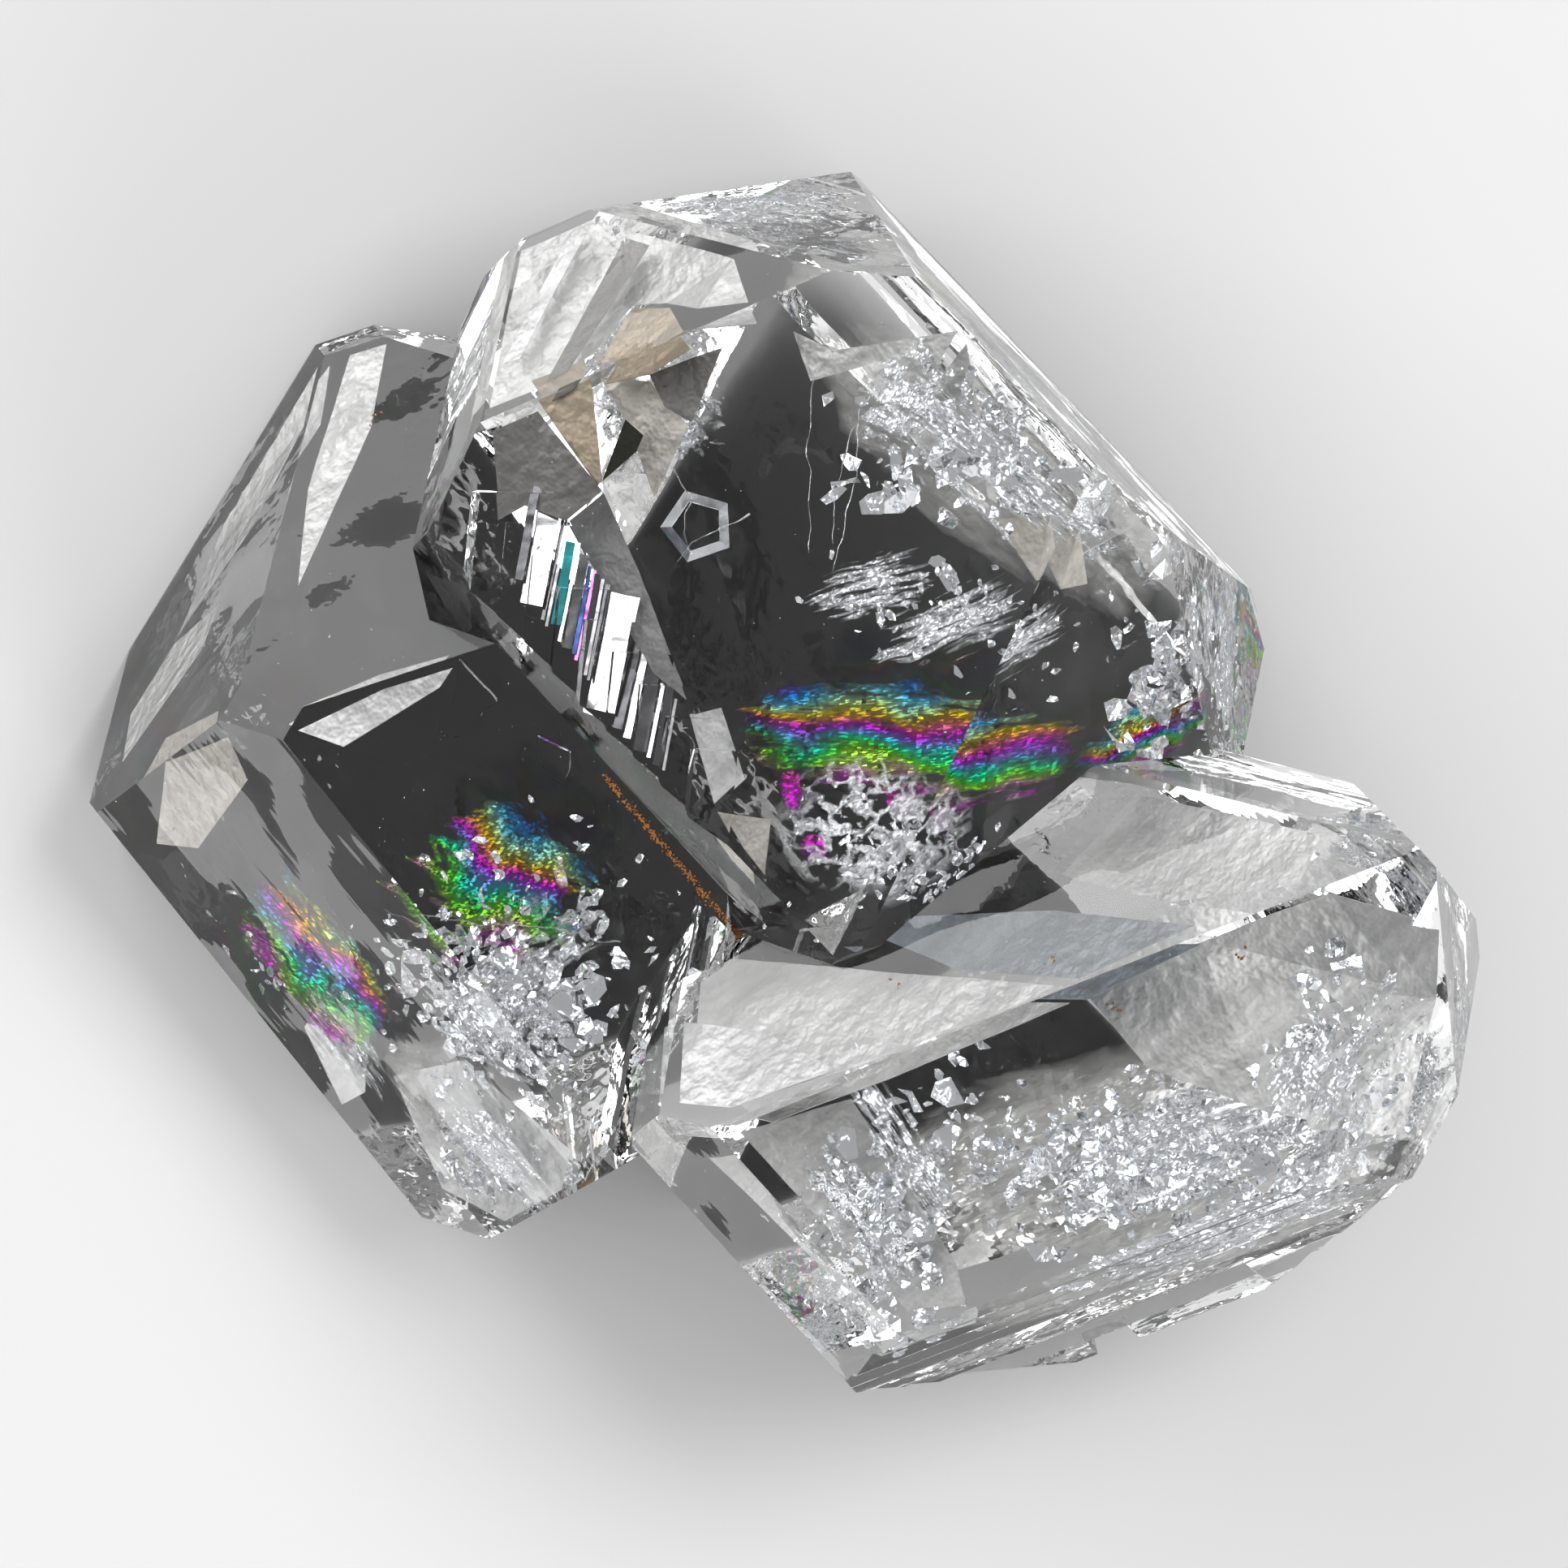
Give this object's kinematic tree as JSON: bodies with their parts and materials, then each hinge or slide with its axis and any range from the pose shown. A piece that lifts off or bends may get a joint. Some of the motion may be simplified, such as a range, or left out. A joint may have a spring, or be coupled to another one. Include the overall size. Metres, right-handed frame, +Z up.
{
  "type": "herkimer diamond",
  "caption": "Cluster of clear, doubly terminated quartz crystals grown into one another, with flat faces, narrow bevels and fine growth steps.",
  "frame": {"origin": "middle of the cluster's footprint, on the floor it lies on", "axes": "+Z up, +X along the cluster's longest side, +Y across it"},
  "size_m": [0.046, 0.039, 0.0175],
  "materials": {
    "clear_quartz": "clear natural crystal faces, glossy, with growth steps, ridges and dusty patches"
  },
  "bodies": {
    "root": {"crystal_cluster": "clear_quartz"}
  },
  "joints": []
}
